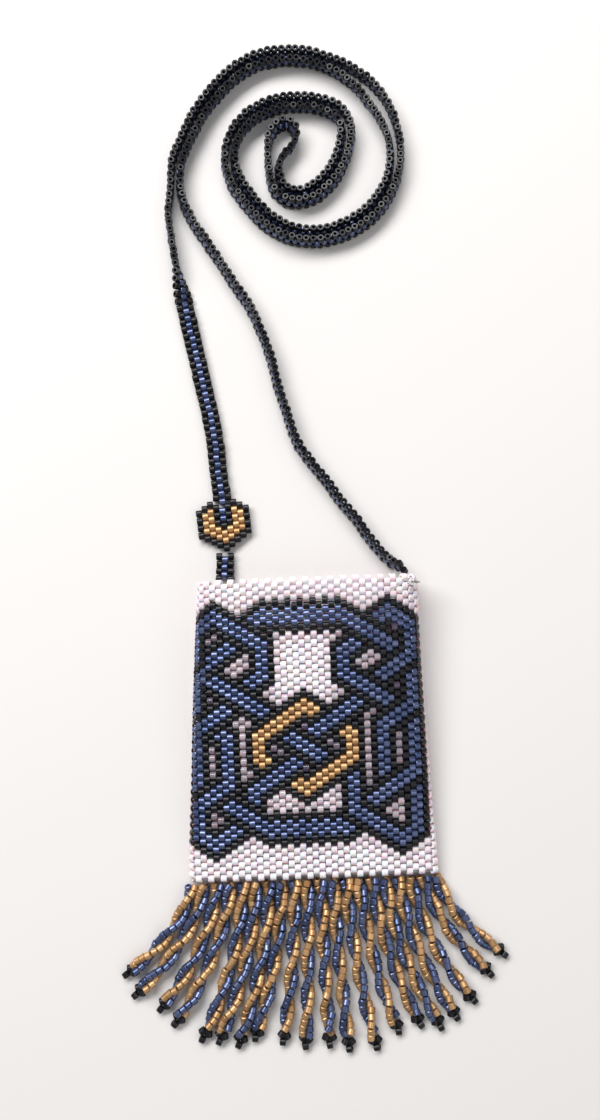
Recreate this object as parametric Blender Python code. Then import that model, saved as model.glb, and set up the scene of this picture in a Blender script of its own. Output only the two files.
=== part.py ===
"""Beaded medicine bag: a flat pouch woven from cylinder beads, with a knot pattern, a strap and a fringe.

The bag lies on its back on a table. Z is up, Y runs from the closed bottom to the open mouth and X to the
right. The origin is on the table under the middle of the woven bag's length and width.
"""

import math

import bmesh
import bpy
import numpy as np
from mathutils import Vector, geometry

MM = 0.001

# Beads and weave
COLUMN = 1.31 * MM  # one bead's length, along the row
HALF_ROW = 0.88 * MM  # neighbouring columns stand half a bead up or down
BEAD_DIAMETER = 1.75 * MM
COLUMNS = 80  # round the whole bag
ROWS_UP = 72  # half rows from the bottom seam to the rim
KNOT_SHIFT = 0.54 * COLUMN  # the knot's middle lies this far left of the front's middle

# Bag
MOUTH_RISE = 9.2 * MM  # how far the mouth stands open
RISE_POWER = 0.75
FOLD_SHARE = 0.42  # the fold's height, as a share of the section's height
FRONT_POWER = 3.2
BACK_POWER = 7.0
BACK_REACH = 1.02  # over 1, so the back is flat on the table
MOUTH_SHIFT = 1.0 * MM  # how far right the mouth's middle lies
LEAN = 0.988  # the front climbs to the mouth, so its length covers this much of the table
FLOOR_ROWS = 4  # solid bottom seam, in half rows
WALL_RINGS = (0.0, 0.06, 0.15, 0.3, 0.5, 0.75)
PATTERN_COLUMNS = (-20, 19)  # the wall is thinner here, by the depth of the pattern

# Knot pattern
BAND_HALF = 1.35 * MM
OUTLINE_HALF = 2.4 * MM
CLEARANCE = 0.3 * MM
FIELD_THICKNESS = 0.25 * MM
PATTERN_STEP = 1.5 * MM
GROUND_STEP = 5.0 * MM
CREASES = (*range(-19, -12), -8, -4, 0, 4, 8, *range(13, 19))  # columns where the ground field bends
UNDER_GAP = 1.2 * MM  # between a band that passes under and the band over it

# Strap, medallion and fringe
STRAP_RADIUS = 1.3 * MM
STRAP_HEIGHT = STRAP_RADIUS + 0.15 * MM
STRAND_OFFSET = 1.5 * MM  # half the distance between the two strands of the spiral
MEDALLION_X = -16.8 * MM
MEDALLION_Y = 76.4 * MM
MEDALLION_HALF_ROW = 0.83 * MM
MEDALLION_LOW = 1.3 * MM
MEDALLION_THICKNESS = 1.6 * MM
EMBLEM_THICKNESS = 0.4 * MM
LEGS = 20
STRING_RADIUS = 0.72 * MM
LEG_HEIGHT = 2 * STRING_RADIUS + 0.1 * MM
LEG_TWIST = 13.5 * MM  # one full turn of the two strings
LEG_RINGS_PER_TURN = 6
TIP_LENGTH = 4.5 * MM
TIP_HEIGHT = STRING_RADIUS + 0.2 * MM

# The knot's corners, in columns and half rows from its middle
BLUE_STRAND = (
    (-6.5, -29.5), (6.5, -29.5), (15.5, -20.5), (17.5, -18), (17.5, -8), (12.5, -2.5), (12.5, 9),
    (17.5, 14), (17.5, 22.5), (15, 25), (7.5, 17.5), (7.5, 9), (3, 5), (-3, -1), (-7, -7), (-14, -14),
    (-17.5, -17.5), (-17.5, -26.5), (-14, -30), (-6.5, -22.5), (-6.5, -15.5), (-9, -13), (-12, -8.5),
    (-17.5, -2.5), (-17.5, 10), (-12, 16), (-6.5, 21.5), (6.5, 21.5), (10, 16), (17.5, 8.5),
    (17.5, -4.5), (14, -8), (6.5, -15.5), (6.5, -20.5), (9, -23), (12, -28), (14, -30), (17.5, -26.5),
    (17.5, -19.5), (12, -14), (9, -9), (2, -2), (-2, 6), (-8.5, 12.5), (-8.5, 15), (-12, 22), (-15, 25),
    (-17.5, 22.5), (-17.5, 15.5), (-12.5, 10.5), (-12.5, -1), (-17.5, -6), (-17.5, -15), (-12, -22),
    (-8.5, -27.5),
)
GOLD_STRAND = ((0, -8), (-7.5, -0.5), (-7.5, 5), (0, 12), (7.5, 4.5), (7.5, -1.5))
BOTTOM_ROW = 34  # the half row of the bottom seam, counted from the knot's middle

# Routes on the table, in millimetres from the middle of the seam, chosen by hand
STRAP_LEFT = (
    (-17.2, 83.4), (-17.8, 89.1), (-18.2, 94.3), (-19.0, 100.6), (-20.1, 106.0), (-21.5, 113.4),
    (-22.8, 119.9), (-24.2, 127.0), (-25.3, 133.0), (-26.6, 141.2), (-27.4, 149.0),
)
STRAP_RIGHT = (
    (23.0, 64.5, 4.3), (21.4, 65.6, 2.6), (19.0, 67.4), (15.4, 71.8), (12.4, 76.5), (9.0, 80.9), (6.1, 85.5),
    (2.7, 90.0), (-0.2, 94.9), (-2.0, 101.0), (-3.8, 107.4), (-5.1, 113.8), (-7.0, 119.8), (-9.4, 125.8),
    (-12.9, 131.6), (-16.4, 137.7), (-19.4, 142.6), (-22.6, 148.2),
)
SPIRAL = (
    (-26.0, 155.2), (-25.4, 162.2), (-22.0, 170.2), (-17.6, 177.1), (-11.5, 183.3), (-4.7, 186.6),
    (3.4, 187.0), (10.7, 184.7), (17.1, 180.4), (21.4, 174.8), (24.2, 168.3), (24.9, 161.9), (23.5, 155.4),
    (20.0, 149.6), (14.6, 145.4), (7.9, 143.1), (1.2, 143.5), (-4.5, 146.6), (-9.2, 151.9), (-12.5, 157.7),
    (-13.3, 163.6), (-11.2, 169.3), (-6.8, 173.3), (-0.9, 175.4), (6.4, 175.2), (12.0, 172.8), (13.9, 168.5),
    (12.7, 162.6), (10.0, 157.3), (5.6, 153.4), (0.9, 152.5), (-2.4, 155.0), (-3.3, 159.6),
)
END_LOOP = (
    (-4.5, 163.6), (-3.9, 167.6), (-1.9, 170.1), (0.6, 170.4), (2.1, 168.3), (1.4, 165.4), (-0.9, 162.9),
)
STRAP_SHORT = ((-16.8, 70.2), (-16.9, 67.0), (-17.1, 63.9))
LEG_TIPS = (
    (-41.2, -19.1), (-39.3, -23.2), (-34.0, -26.4), (-30.9, -29.5), (-25.1, -32.9), (-21.6, -33.5),
    (-17.5, -34.4), (-14.0, -33.3), (-8.0, -34.2), (-3.2, -35.2), (1.9, -35.0), (6.1, -36.1), (12.0, -35.9),
    (16.9, -32.9), (21.6, -31.7), (25.9, -32.3), (29.4, -30.4), (33.2, -27.3), (37.1, -21.8), (40.3, -17.9),
)

LENGTH = ROWS_UP * HALF_ROW  # up the front, from the seam to the rim
GIRTH = COLUMNS * COLUMN
SEAM_Y = -(LENGTH + HALF_ROW) * LEAN / 2
LEG_ROOT_SPAN = GIRTH / 2 - BEAD_DIAMETER / 4
ANGLES = np.linspace(math.pi / 2, -1.5 * math.pi, 1441)
SECTIONS = {}


def clear_scene():
    for item in list(bpy.data.objects):
        bpy.data.objects.remove(item, do_unlink=True)


def principled(name, color, roughness, metallic=0.0):
    material = bpy.data.materials.new(name)
    material.use_nodes = True
    shader = material.node_tree.nodes["Principled BSDF"]
    shader.inputs["Base Color"].default_value = (*color, 1.0)
    shader.inputs["Roughness"].default_value = roughness
    shader.inputs["Metallic"].default_value = metallic
    return material


def add_object(name, mesh, materials, smooth=True):
    mesh.name = name
    for material in materials:
        mesh.materials.append(material)
    if smooth:
        mesh.shade_smooth()
        mesh.set_sharp_from_angle(angle=math.radians(40))
    item = bpy.data.objects.new(name, mesh)
    bpy.context.scene.collection.objects.link(item)
    return item


def finished(shape):
    bmesh.ops.recalc_face_normals(shape, faces=shape.faces)
    mesh = bpy.data.meshes.new("mesh")
    shape.to_mesh(mesh)
    shape.free()
    return mesh


def loft(rings, slots=None):
    """A closed solid through rings of equal count; slots gives a face's material by ring and place."""
    shape = bmesh.new()
    loops = [[shape.verts.new(point) for point in ring] for ring in rings]
    count = len(loops[0])
    for r, (near, far) in enumerate(zip(loops, loops[1:])):
        for i in range(count):
            j = (i + 1) % count
            face = shape.faces.new((near[i], near[j], far[j], far[i]))
            face.material_index = slots(r, i) if slots else 0
    shape.faces.new(loops[0])
    last = shape.faces.new(loops[-1])
    last.material_index = slots(len(rings) - 2, 0) if slots else 0
    return finished(shape)


# The bag's section: a closed oval, flat below, crowned above, of the same girth all the way up


def rise(t):
    """From the back wall's middle to the front wall's, at t from the seam (0) to the rim (1)."""
    return BEAD_DIAMETER + MOUTH_RISE * max(t, 0.0) ** RISE_POWER


def oval(angle, half_width, low, fold, high):
    cosine, sine = np.cos(angle), np.sin(angle)
    power = np.where(sine >= 0, 2 / FRONT_POWER, 2 / BACK_POWER)
    across = half_width * np.sign(cosine) * np.abs(cosine) ** power
    share = np.abs(sine) ** power
    front = fold + (high - fold) * share
    back = np.maximum(fold - BACK_REACH * (fold - low) * share, low)
    return across, np.where(sine >= 0, front, back)


def levels(t):
    low = BEAD_DIAMETER / 2
    return low, low + FOLD_SHARE * rise(t), low + rise(t)


def section(t):
    """The arc length at each angle and the half width, so that the middle of the wall is GIRTH round."""
    key = round(t, 3)
    if key not in SECTIONS:
        narrow, wide = 0.2 * GIRTH, 0.3 * GIRTH
        for _ in range(30):
            half_width = (narrow + wide) / 2
            x, z = oval(ANGLES, half_width, *levels(key))
            arc = np.concatenate(([0.0], np.cumsum(np.hypot(np.diff(x), np.diff(z)))))
            if arc[-1] < GIRTH:
                narrow = half_width
            else:
                wide = half_width
        SECTIONS[key] = arc, half_width
    return SECTIONS[key]


def on_bag(across, up, offset):
    """The point at a distance across from the front's middle and up from the seam, offset outwards."""
    t = up / LENGTH
    shift = MOUTH_SHIFT * max(t, 0.0) ** 2
    arc, half_width = section(t)
    low, fold, high = levels(t)
    angle = np.interp((across - shift) % arc[-1], arc, ANGLES)
    x, z = oval(angle, half_width + offset, low - offset, fold, high + offset)
    return Vector((float(x) + shift, SEAM_Y + up * LEAN, float(z)))


def bag_wall():
    """One woven tube, closed at the seam, with alternate columns half a bead taller at the rim."""
    skin = BEAD_DIAMETER / 2
    recessed = -CLEARANCE / 2

    def outside(j):
        middle = (j + COLUMNS // 2) % COLUMNS - COLUMNS // 2
        return recessed if PATTERN_COLUMNS[0] <= middle <= PATTERN_COLUMNS[1] else skin

    def ring(up, offsets):
        return [shape.verts.new(on_bag(j * COLUMN, up, offsets(j))) for j in range(COLUMNS)]

    def bridge(near, far):
        for i in range(COLUMNS):
            j = (i + 1) % COLUMNS
            shape.faces.new((near[i], near[j], far[j], far[i]))

    shape = bmesh.new()
    floor = FLOOR_ROWS / ROWS_UP
    outer = [ring(t * LENGTH, outside if t > 0 else lambda j: skin) for t in (*WALL_RINGS, 1.0)]
    hollow = (floor, *(t for t in WALL_RINGS if t > floor + 0.05), 1.0)
    inner = [ring(t * LENGTH, lambda j: -skin) for t in hollow]
    for near, far in (*zip(outer, outer[1:]), *zip(inner, inner[1:])):
        bridge(near, far)
    shape.faces.new(outer[0])
    shape.faces.new(inner[0])
    lift = Vector((0.0, HALF_ROW * LEAN, 0.0))
    for i in range(COLUMNS):
        j = (i + 1) % COLUMNS
        base = (outer[-1][i], outer[-1][j], inner[-1][j], inner[-1][i])
        if i % 2:
            shape.faces.new(base)
            continue
        top = [shape.verts.new(vert.co + lift) for vert in base]
        for a in range(4):
            b = (a + 1) % 4
            shape.faces.new((base[a], base[b], top[b], top[a]))
        shape.faces.new(top)
    return finished(shape)


# The knot: strands as closed routes on the unrolled front, in metres across and up


def strand_route(points):
    return [Vector((k * COLUMN - KNOT_SHIFT, (BOTTOM_ROW - h) * HALF_ROW)) for k, h in points]


def lengths(route):
    """The distance of each point along the closed route, and its whole length last."""
    total = [0.0]
    for a, b in zip(route, route[1:] + route[:1]):
        total.append(total[-1] + (b - a).length)
    return total


def crossings(route, other, same):
    """(distance on route, distance on other, sine, cosine) of each crossing."""
    found = []
    along, along_other = lengths(route), lengths(other)
    for i, (a, b) in enumerate(zip(route, route[1:] + route[:1])):
        for j, (c, d) in enumerate(zip(other, other[1:] + other[:1])):
            if same and (j <= i + 1 or (i == 0 and j == len(route) - 1)):
                continue
            point = geometry.intersect_line_line_2d(a, b, c, d)
            if point is None:
                continue
            one, two = (b - a).normalized(), (d - c).normalized()
            place = along[i] + (point - a).length
            place_other = along_other[j] + (point - c).length
            found.append((place, place_other, abs(one.x * two.y - one.y * two.x), abs(one.dot(two))))
    return found


def trim(sine, cosine):
    """How far before a crossing the band that passes under ends."""
    return (BAND_HALF + UNDER_GAP + BAND_HALF * cosine) / sine


def stretch(route, start, stop, step=PATTERN_STEP):
    """The closed route's points from start to stop, with a point at least every step."""
    along = lengths(route)
    total = along[-1]
    if stop <= start:
        stop += total
    corners = [lap + place for lap in (0.0, total) for place in along[:-1]]
    low, high = start + BAND_HALF / 2, stop - BAND_HALF / 2
    places = [start, *(place for place in corners if low < place < high), stop]
    fine = []
    for a, b in zip(places, places[1:]):
        parts = max(1, math.ceil((b - a) / step))
        fine += [a + (b - a) * part / parts for part in range(parts)]
    fine.append(stop)
    return [point_at(route, along, place) for place in fine]


def point_at(route, along, place):
    place %= along[-1]
    index = int(np.searchsorted(along, place, side="right")) - 1
    index = min(index, len(route) - 1)
    following = route[(index + 1) % len(route)]
    share = (place - along[index]) / (along[index + 1] - along[index])
    return route[index].lerp(following, share)


def sides(points, half, closed=False):
    """The left and right edges of a strip of that half width, mitred at its corners."""
    left, right = [], []
    last = len(points) - 1
    for i, point in enumerate(points):
        before = points[i - 1] if i or closed else None
        after = points[(i + 1) % len(points)] if i < last or closed else None
        into = (point - before).normalized() if before else (after - point).normalized()
        out = (after - point).normalized() if after else into
        middle = Vector((-into.y - out.y, into.x + out.x)).normalized()
        reach = half / max(0.5, middle.dot(Vector((-into.y, into.x))))
        left.append(point + middle * reach)
        right.append(point - middle * reach)
    return left, right


def ribbon(points, low, high):
    """A band of three points across, from low to high over the wall's middle."""
    left, right = sides(points, BAND_HALF)
    rings = []
    for edge, middle, other in zip(left, points, right):
        row = (edge, middle, other)
        rings.append(
            [on_bag(p.x, p.y, low) for p in row] + [on_bag(p.x, p.y, high) for p in reversed(row)]
        )
    return loft(rings)


def knot_ground(routes, low, high):
    """The dark field under the strands: one sheet, the union of a wide strip along each strand."""
    points, faces = [], []
    for route in routes:
        fine = stretch(route, 0.0, lengths(route)[-1], GROUND_STEP)[:-1]
        left, right = sides(fine, OUTLINE_HALF, closed=True)
        count = len(fine)
        start = len(points)
        points += left + right
        for i in range(count):
            j = (i + 1) % count
            faces.append([start + i, start + count + i, start + count + j, start + j])
    creases = []
    for column in CREASES:
        creases.append((len(points), len(points) + 1))
        points += [Vector((column * COLUMN, up)) for up in (0.0, LENGTH)]
    flat = [point / MM for point in points]
    verts, _, tris, _, _, origin = geometry.delaunay_2d_cdt(flat, creases, faces, 0, 0.02, True)
    tris = [tri for tri, inside in zip(tris, origin) if inside]
    shape = bmesh.new()
    below = [shape.verts.new(on_bag(p.x * MM, p.y * MM, low)) for p in verts]
    above = [shape.verts.new(on_bag(p.x * MM, p.y * MM, high)) for p in verts]
    edges = {}
    for a, b, c in tris:
        shape.faces.new((above[a], above[b], above[c]))
        shape.faces.new((below[c], below[b], below[a]))
        for pair in ((a, b), (b, c), (c, a)):
            key = tuple(sorted(pair))
            edges[key] = edges.get(key, 0) + 1
    for (a, b), uses in edges.items():
        if uses == 1:
            shape.faces.new((below[a], below[b], above[b], above[a]))
    bmesh.ops.delete(shape, geom=[v for v in shape.verts if not v.link_faces], context="VERTS")
    return finished(shape)


def add_knot(ground, blue, gold):
    field_low = CLEARANCE / 2
    field_high = field_low + FIELD_THICKNESS
    band_high = BEAD_DIAMETER / 2
    band_low = band_high - (band_high - field_high) / 2
    blue_route, gold_route = strand_route(BLUE_STRAND), strand_route(GOLD_STRAND)
    add_object("knot_ground", knot_ground((blue_route, gold_route), field_low, field_high), [ground])
    passes = []
    for place, other, sine, cosine in crossings(blue_route, blue_route, True):
        passes += [(place, sine, cosine, None), (other, sine, cosine, None)]
    for place, other, sine, cosine in crossings(blue_route, gold_route, False):
        passes.append((place, sine, cosine, other))
    passes.sort(key=lambda item: item[0])
    under = passes[1::2]  # the strand goes over and under in turn
    for number, (first, second) in enumerate(zip(under, under[1:] + under[:1]), start=1):
        points = stretch(blue_route, first[0] + trim(*first[1:3]), second[0] - trim(*second[1:3]))
        add_object(f"knot_band_{number:02d}", ribbon(points, band_low, band_high), [blue])
    hidden = sorted((item[3], item[1], item[2]) for item in passes[0::2] if item[3] is not None)
    for number, (first, second) in enumerate(zip(hidden, hidden[1:] + hidden[:1]), start=1):
        points = stretch(gold_route, first[0] + trim(*first[1:]), second[0] - trim(*second[1:]))
        add_object(f"knot_loop_{number}", ribbon(points, band_low, band_high), [gold])


# Strap, medallion and fringe


def on_table(points, height):
    return [Vector((p[0] * MM, SEAM_Y + p[1] * MM, p[2] * MM if len(p) > 2 else height)) for p in points]


def smooth_curve(points, step):
    """Points about a step apart on a smooth curve through these, nearer together where it bends."""
    fine = []
    padded = [points[0] * 2 - points[1], *points, points[-1] * 2 - points[-2]]
    for a, b, c, d in zip(padded, padded[1:], padded[2:], padded[3:]):
        for part in range(12):
            u = part / 12
            bend = (2 * a - 5 * b + 4 * c - d) * u**2 + (3 * b - a - 3 * c + d) * u**3
            fine.append(0.5 * (2 * b + (c - a) * u + bend))
    fine.append(points[-1])
    kept = [fine[0]]
    turned = 0.0
    run = 0.0
    for before, point, after in zip(fine, fine[1:], fine[2:]):
        run += (point - before).length
        turned += (point - before).angle(after - point, 0.0)
        if run >= step or turned > math.radians(28):
            kept.append(point)
            run, turned = 0.0, 0.0
    kept.append(fine[-1])
    return kept


def strands():
    """The two edges of the spiral: the outer strand going in, and the inner one."""
    centre = on_table(SPIRAL, STRAP_HEIGHT)
    outer, inner = [], []
    for i, point in enumerate(centre):
        ahead = centre[min(i + 1, len(centre) - 1)] - centre[max(i - 1, 0)]
        side = Vector((-ahead.y, ahead.x, 0.0)).normalized() * STRAND_OFFSET
        outer.append(point + side)
        inner.append(point - side)
    return outer, inner


def add_tube(name, points, radius, material):
    curve = bpy.data.curves.new(name, "CURVE")
    curve.dimensions = "3D"
    curve.bevel_depth = radius
    curve.bevel_resolution = 2
    curve.use_fill_caps = True
    spline = curve.splines.new("POLY")
    spline.points.add(len(points) - 1)
    for place, point in zip(spline.points, points):
        place.co = (*point, 1.0)
    curve.materials.append(material)
    item = bpy.data.objects.new(name, curve)
    bpy.context.scene.collection.objects.link(item)


def add_strap(black):
    outer, inner = strands()
    route = (
        on_table(STRAP_LEFT, STRAP_HEIGHT) + outer + on_table(END_LOOP, STRAP_HEIGHT)
        + inner[::-1] + on_table(STRAP_RIGHT, STRAP_HEIGHT)[::-1]
    )
    add_tube("strap_long", smooth_curve(route, 12 * MM), STRAP_RADIUS, black)
    short = smooth_curve(on_table(STRAP_SHORT, STRAP_HEIGHT), 3 * MM)
    add_tube("strap_short", short, STRAP_RADIUS, black)


def stepped_plate(name, tops, bottoms, low, high, material):
    """A plate of bead columns: the first and last half row of each, counted down from the middle."""
    middle = len(tops) / 2

    def corner(column, half_row):
        return (
            MEDALLION_X + (column - middle) * COLUMN,
            SEAM_Y + MEDALLION_Y - half_row * MEDALLION_HALF_ROW,
        )

    outline = []
    for i, half_row in enumerate(bottoms):
        outline += [corner(i, half_row), corner(i + 1, half_row)]
    for i in reversed(range(len(tops))):
        outline += [corner(i + 1, tops[i]), corner(i, tops[i])]
    shape = bmesh.new()
    base = [shape.verts.new((x, y, low)) for x, y in outline]
    face = shape.faces.new(base)
    grown = bmesh.ops.extrude_face_region(shape, geom=[face])
    lifted = [item for item in grown["geom"] if isinstance(item, bmesh.types.BMVert)]
    bmesh.ops.translate(shape, verts=lifted, vec=(0.0, 0.0, high - low))
    bmesh.ops.remove_doubles(shape, verts=shape.verts, dist=0.01 * MM)
    add_object(name, finished(shape), [material], smooth=False)


def add_medallion(black, gold):
    tops = (-5, -6, -7, -8, -8, -8, -7, -6, -5)
    bottoms = (3, 4, 5, 6, 7, 6, 5, 4, 3)
    high = MEDALLION_LOW + MEDALLION_THICKNESS
    stepped_plate("medallion", tops, bottoms, MEDALLION_LOW, high, black)
    low = high + CLEARANCE
    emblem_tops = (-4, -5, 0, 1, 0, -5, -4)
    emblem_bottoms = (2, 3, 4, 5, 4, 3, 2)
    stepped_plate("medallion_emblem", emblem_tops, emblem_bottoms, low, low + EMBLEM_THICKNESS, gold)


def leg_path(index):
    """Points down the middle of a leg: straight out of the seam, then spreading to its tip."""
    root = Vector(((index / (LEGS - 1) - 0.5) * LEG_ROOT_SPAN, SEAM_Y - CLEARANCE))
    tip = Vector((LEG_TIPS[index][0] * MM, SEAM_Y + LEG_TIPS[index][1] * MM))
    bend = root + Vector((0.12 * (tip.x - root.x), 0.5 * (tip.y - root.y)))
    return [root * (1 - u) ** 2 + bend * 2 * u * (1 - u) + tip * u**2 for u in np.linspace(0, 1, 60)]


def place_on(points, distance):
    """(point, direction) at that distance along the points."""
    for a, b in zip(points, points[1:]):
        step = (b - a).length
        if distance <= step:
            return a.lerp(b, distance / step), (b - a).normalized()
        distance -= step
    return points[-1], (points[-1] - points[-2]).normalized()


def leg_ring(points, distance, turn, spread, height):
    """Eight points round the two strings, whose middles stand spread apart on either side."""
    point, ahead = place_on(points, distance)
    side = Vector((-ahead.y, ahead.x, 0.0))
    up = Vector((0.0, 0.0, 1.0))
    across = side * math.cos(turn) + up * math.sin(turn)
    other = up * math.cos(turn) - side * math.sin(turn)
    ring = []
    for sign in (1, -1):
        for angle in (-90, -30, 30, 90):
            a = math.radians(angle)
            reach = spread + STRING_RADIUS * math.cos(a)
            ring.append(
                Vector((*point, height)) + sign * (across * reach + other * (STRING_RADIUS * math.sin(a)))
            )
    return ring


def add_leg(index, gold, blue, black):
    points = leg_path(index)
    length = sum((b - a).length for a, b in zip(points, points[1:]))
    pair = length - TIP_LENGTH
    count = max(2, round(pair / (LEG_TWIST / LEG_RINGS_PER_TURN)))
    phase = index * math.pi / 2
    rings = []
    for i in range(count + 1):
        distance = pair * i / count
        turn = phase + 2 * math.pi * distance / LEG_TWIST
        rings.append(leg_ring(points, distance, turn, STRING_RADIUS, LEG_HEIGHT))
    last = phase + 2 * math.pi * pair / LEG_TWIST
    for share in (0.3, 1.0):
        rings.append(leg_ring(points, pair + share * TIP_LENGTH, last, 0.1 * STRING_RADIUS, TIP_HEIGHT))

    def slots(ring, place):
        return 2 if ring >= count else place // 4

    add_object(f"fringe_leg_{index + 1:02d}", loft(rings, slots), [gold, blue, black])


def main():
    clear_scene()
    pale = principled("pale_glass", (0.86, 0.76, 0.79), 0.2)
    black = principled("black_glass", (0.025, 0.025, 0.03), 0.35)
    blue = principled("blue_metal_glass", (0.07, 0.1, 0.3), 0.25, 0.6)
    gold = principled("gold_matt_glass", (0.68, 0.38, 0.1), 0.4, 0.8)
    add_object("bag_wall", bag_wall(), [pale])
    add_knot(black, blue, gold)
    add_strap(black)
    add_medallion(black, gold)
    for index in range(LEGS):
        add_leg(index, gold, blue, black)


main()
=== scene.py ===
"""Beaded medicine bag: an add-on that weaves the bag, its strap and its fringe out of cylinder beads.

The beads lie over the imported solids, in the same frame: Z up, Y from the closed bottom to the open mouth,
the origin on the floor under the middle of the woven bag. Lengths are in metres.
"""

import math

import bpy
import numpy as np
from bpy.props import FloatProperty, FloatVectorProperty, PointerProperty
from mathutils import Matrix, Vector


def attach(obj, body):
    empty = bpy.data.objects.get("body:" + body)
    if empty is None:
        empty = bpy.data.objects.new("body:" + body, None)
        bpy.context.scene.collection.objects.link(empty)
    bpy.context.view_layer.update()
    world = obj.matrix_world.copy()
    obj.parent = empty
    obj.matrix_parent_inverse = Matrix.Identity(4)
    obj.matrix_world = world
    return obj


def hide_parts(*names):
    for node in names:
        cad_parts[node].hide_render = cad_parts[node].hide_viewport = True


bl_info = {
    "name": "Beaded Medicine Bag",
    "version": (1, 0, 0),
    "blender": (4, 5, 0),
    "location": "View3D > Sidebar > Beadwork",
    "description": "Weaves a bag, its strap and its fringe out of cylinder beads",
    "category": "Add Mesh",
}

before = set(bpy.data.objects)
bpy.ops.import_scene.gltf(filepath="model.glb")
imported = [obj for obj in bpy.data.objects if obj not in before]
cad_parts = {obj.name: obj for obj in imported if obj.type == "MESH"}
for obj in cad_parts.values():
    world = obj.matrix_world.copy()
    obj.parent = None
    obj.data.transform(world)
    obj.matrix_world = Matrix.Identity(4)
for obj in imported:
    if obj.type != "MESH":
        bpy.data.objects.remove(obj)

MM = 0.001
BODY = "root"

# The beads: how many sides they have, how much of their pitch they fill and how loosely they lie
FRONT_SIDES = 12
PLAIN_SIDES = 10
CLEAR_SIDES = 16
FILL = 0.985
STRAP_FILL = 0.97
SHARP_ANGLE = math.radians(38)
SIZE_SPREAD = 0.012
WOVEN = (0.03, 0.025 * MM)  # tilt in radians and shift, as standard deviations
STRAP_WEAVE = (0.06, 0.05 * MM)
STRUNG = (0.12, 0.06 * MM)

# The weave of the bag, as the solids have it
COLUMNS = 80
LEFT_COLUMNS = 40  # columns are numbered from the front's middle, this many each way round
ROWS_UP = 72
TOP_ROW = -38
BOTTOM_ROW = 34
KNOT_SHIFT = 0.54
MOUTH_RISE = 9.2 * MM
RISE_POWER = 0.75
FOLD_SHARE = 0.42
FRONT_POWER = 3.2
BACK_POWER = 7.0
BACK_REACH = 1.02
MOUTH_SHIFT = 1.0 * MM
LEAN = 0.988
WALL = 1.75 * MM
ANGLES = np.linspace(math.pi / 2, -1.5 * math.pi, 1441)
WIDTH_RANGE = (0.2, 0.3)  # half the section's width is between these shares of its girth
HALVINGS = 30  # to find that width

# The knot's corners, in columns and half rows from its middle
BLUE_STRAND = (
    (-6.5, -29.5), (6.5, -29.5), (15.5, -20.5), (17.5, -18), (17.5, -8), (12.5, -2.5), (12.5, 9),
    (17.5, 14), (17.5, 22.5), (15, 25), (7.5, 17.5), (7.5, 9), (3, 5), (-3, -1), (-7, -7), (-14, -14),
    (-17.5, -17.5), (-17.5, -26.5), (-14, -30), (-6.5, -22.5), (-6.5, -15.5), (-9, -13), (-12, -8.5),
    (-17.5, -2.5), (-17.5, 10), (-12, 16), (-6.5, 21.5), (6.5, 21.5), (10, 16), (17.5, 8.5),
    (17.5, -4.5), (14, -8), (6.5, -15.5), (6.5, -20.5), (9, -23), (12, -28), (14, -30), (17.5, -26.5),
    (17.5, -19.5), (12, -14), (9, -9), (2, -2), (-2, 6), (-8.5, 12.5), (-8.5, 15), (-12, 22), (-15, 25),
    (-17.5, 22.5), (-17.5, 15.5), (-12.5, 10.5), (-12.5, -1), (-17.5, -6), (-17.5, -15), (-12, -22),
    (-8.5, -27.5),
)
GOLD_STRAND = ((0, -8), (-7.5, -0.5), (-7.5, 5), (0, 12), (7.5, 4.5), (7.5, -1.5))
BAND_HALF = 1.38 * MM
OUTLINE_HALF = 3.1 * MM
OVER_REACH = 4.4 * MM  # how far round a crossing the strand on top is drawn
OVER_LENGTH = 1.6 * OVER_REACH  # the length of that strand that counts there, each way
OVER_OUTLINE = 2.75 * MM
PALE_GAPS = ((0, -3), (0, 7), (15, -26))  # single pale beads in the knot's tightest gaps
SAMPLE_STEP = 0.1 * MM  # along a strand
PARALLEL = 1e-12  # two runs with a smaller cross product are parallel
# Painted shade: a pale bead with dark beads near it is mixed towards a grey, standing in for the light those
# neighbours take from it
SHADE_REACH = 4.0 * MM  # dark beads this near a pale one take light from it
SHADE_FULL = 18  # as many dark beads as turn it fully grey
SHADE_POWER = 1.5

# Routes on the table, in millimetres from the middle of the seam. A third value is a height.
# The spiral and the loop at its end are the middle lines of the solids, and the beads lie
# SPIRAL_MOVE away from them, on both sides.
STRAP_LEFT = (
    (-17.2, 83.4), (-17.8, 89.1), (-18.2, 94.3), (-19.0, 100.6), (-20.1, 106.0), (-21.5, 113.4),
    (-22.8, 119.9), (-24.2, 127.0), (-25.3, 133.0), (-26.6, 141.2), (-27.4, 149.0),
)
STRAP_RIGHT = (
    (23.0, 64.5, 4.3), (21.4, 65.6, 2.6), (19.0, 67.4), (15.4, 71.8), (12.4, 76.5), (9.0, 80.9), (6.1, 85.5),
    (2.7, 90.0), (-0.2, 94.9), (-2.0, 101.0), (-3.8, 107.4), (-5.1, 113.8), (-7.0, 119.8), (-9.4, 125.8),
    (-12.9, 131.6), (-16.4, 137.7), (-19.4, 142.6), (-22.6, 148.2),
)
SPIRAL = (
    (-26.0, 155.2), (-25.4, 162.2), (-22.0, 170.2), (-17.6, 177.1), (-11.5, 183.3), (-4.7, 186.6),
    (3.4, 187.0), (10.7, 184.7), (17.1, 180.4), (21.4, 174.8), (24.2, 168.3), (24.9, 161.9), (23.5, 155.4),
    (20.0, 149.6), (14.6, 145.4), (7.9, 143.1), (1.2, 143.5), (-4.5, 146.6), (-9.2, 151.9), (-12.5, 157.7),
    (-13.3, 163.6), (-11.2, 169.3), (-6.8, 173.3), (-0.9, 175.4), (6.4, 175.2), (12.0, 172.8), (13.9, 168.5),
    (12.7, 162.6), (10.0, 157.3), (5.6, 153.4), (0.9, 152.5), (-2.4, 155.0), (-3.3, 159.6),
)
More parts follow.
